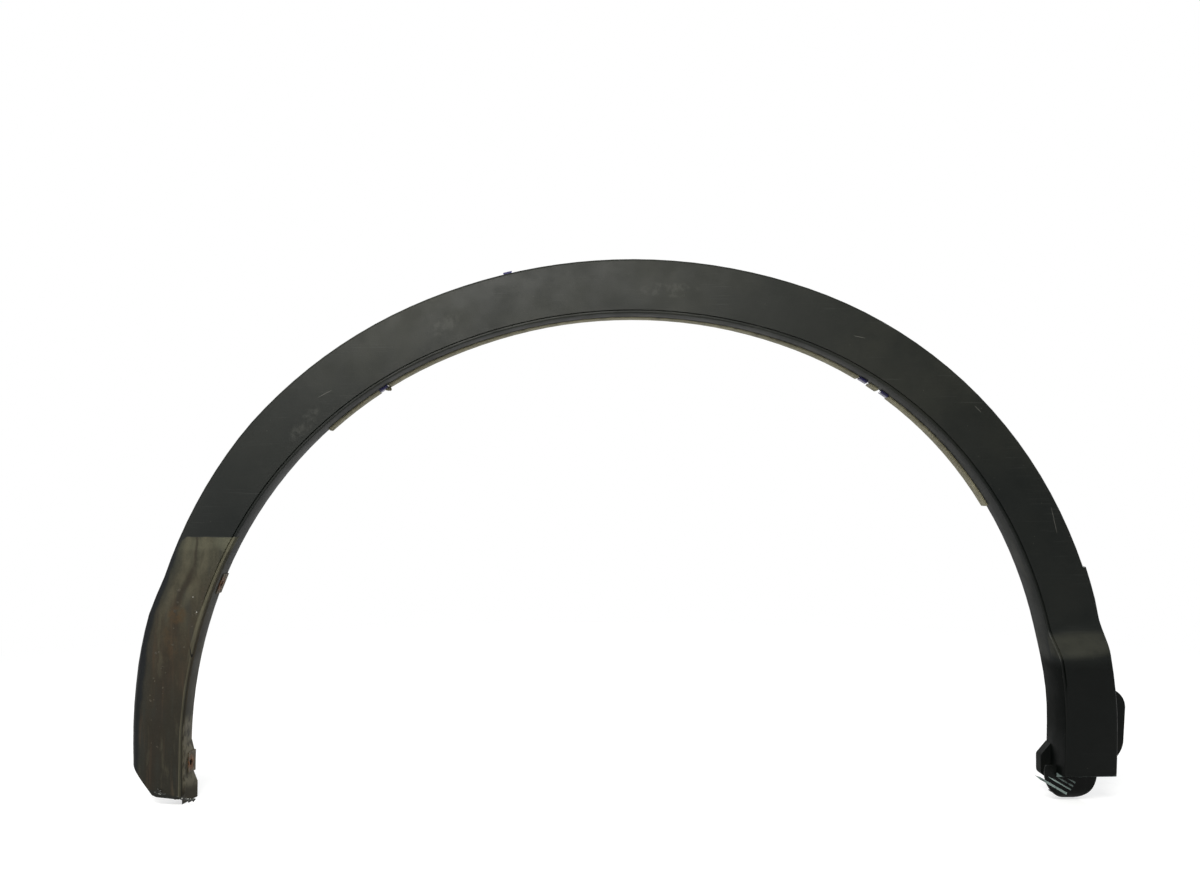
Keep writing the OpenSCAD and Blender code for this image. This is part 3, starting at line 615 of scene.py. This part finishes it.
def foam_nub(material):
    """Torn rest of sealing foam beside the left edge clip."""
    bm = bmesh.new()
    place = Matrix.Translation(Vector((-251, 13, -114)) * MM)
    shape = Matrix.Diagonal((3.2, 2.6, 2.4, 1 / MM)) * MM
    made = bmesh.ops.create_icosphere(bm, subdivisions=4, radius=1.0, matrix=place @ shape)
    for v in made["verts"]:
        v.co += noise.noise_vector(v.co * 500) * 1.2 * MM + noise.noise_vector(v.co * 1700) * 0.4 * MM
    piece_from("foam_nub", bm, material)


plastic = black_plastic()
blue = blue_plastic()
seal = foam()
nuts = [mount for mount in frame["record"]["mounts"] if mount["kind"] == "threaded_hole"]
steel = rust([tuple(v / MM for v in mount["pos_m"]) for mount in nuts])
soft_shell = soften("soften_shell", 30)
for node, material in (("arch_moulding", plastic), ("body_clips", blue), ("edge_clips", blue),
                       ("spring_nuts", steel), ("left_seal_strip", seal),
                       ("crown_seal_strip", seal), ("short_seal_strip", seal),
                       ("right_seal_strip", seal)):
    dress(node, material, soft_shell)
mud_crumbs(dry_mud())
torn_fringe(torn_film())
foam_nub(seal)
for mount in nuts:
    thread(mount, steel)


# ---------- floor, light and camera ----------

def floor(size=24, below=0.0004):
    """White floor that still takes the object's shadow, and that lights it like plain grey."""
    g = Graph("pale_floor")
    diffuse = g.node("ShaderNodeBsdfDiffuse", {"Color": (0.5, 0.5, 0.5)}).outputs[0]
    glow = g.node("ShaderNodeEmission", {"Color": (1, 1, 1), "Strength": 0.62}).outputs[0]
    lit = g.node("ShaderNodeAddShader", {0: diffuse, 1: glow}).outputs[0]
    white = g.node("ShaderNodeEmission", {"Color": (1, 1, 1), "Strength": 1.0}).outputs[0]
    away = g.math("SQRT", g.x * g.x + g.y * g.y).rise(700, 1500)
    faded = g.node("ShaderNodeMixShader", {0: away, 1: lit, 2: white}).outputs[0]
    plain = g.node("ShaderNodeBsdfDiffuse", {"Color": (0.6, 0.6, 0.6)}).outputs[0]
    g.node("ShaderNodeOutputMaterial", {"Surface": g.seen_white(faded, plain, g.y.rise(-100, 300))})
    bpy.ops.mesh.primitive_plane_add(size=size, location=(0, 0, cad_box[0][2] - below))
    made = bpy.context.object
    made.name = "floor"
    made.data.materials.append(g.material)


def world():
    """Soft grey light all round, seen as white by the camera and behind the object."""
    made = bpy.data.worlds.new("studio")
    bpy.context.scene.world = made
    made.use_nodes = True
    t = Tree(made.node_tree)
    around = t.node("ShaderNodeTexCoord").outputs["Generated"]
    ways = t.node("ShaderNodeSeparateXYZ", {0: around})
    behind = t.spread(ways.outputs["Y"], 0.1, 0.7, kind="LINEAR")
    studio = t.node("ShaderNodeBackground", {"Color": (0.97, 0.99, 1.0), "Strength": 0.35}).outputs[0]
    paper = t.node("ShaderNodeBackground", {"Color": (1, 1, 1), "Strength": 1.0}).outputs[0]
    t.node("ShaderNodeOutputWorld", {"Surface": t.seen_white(paper, studio, behind)})


def lamp(name, place, target, power, width, height, colour=(1, 1, 1)):
    data = bpy.data.lights.new(name, "AREA")
    data.shape = "RECTANGLE"
    data.size, data.size_y = width, height
    data.energy = power
    data.color = colour
    made = bpy.data.objects.new(name, data)
    made.location = place
    made.rotation_euler = (Vector(target) - Vector(place)).to_track_quat("-Z", "Y").to_euler()
    made.visible_camera = False
    bpy.context.scene.collection.objects.link(made)


def camera(place, up, left, lens):
    """Camera that looks along +Y, turned up and left by the given degrees."""
    data = bpy.data.cameras.new("camera")
    data.sensor_width = 36
    data.lens = lens
    made = bpy.data.objects.new("camera", data)
    made.location = place
    made.rotation_euler = (math.radians(90 + up), 0, math.radians(left))
    bpy.context.scene.collection.objects.link(made)
    bpy.context.scene.camera = made


floor()
world()
lamp("key", (-0.5, -1.9, 1.25), (-0.05, 0, -0.1), 69, 1.7, 0.8, (1.0, 0.995, 0.95))
lamp("side", (-2.3, -1.6, 0.1), (-0.1, 0, -0.25), 9, 1.0, 1.4)
lamp("back", (0.6, 2.2, 0.9), (0, 0, -0.2), 30, 1.6, 1.0)
camera((-0.0576, -1.272, -0.1976), up=1.091, left=-1.036, lens=37.5)
bpy.context.scene.view_settings.view_transform = "Standard"
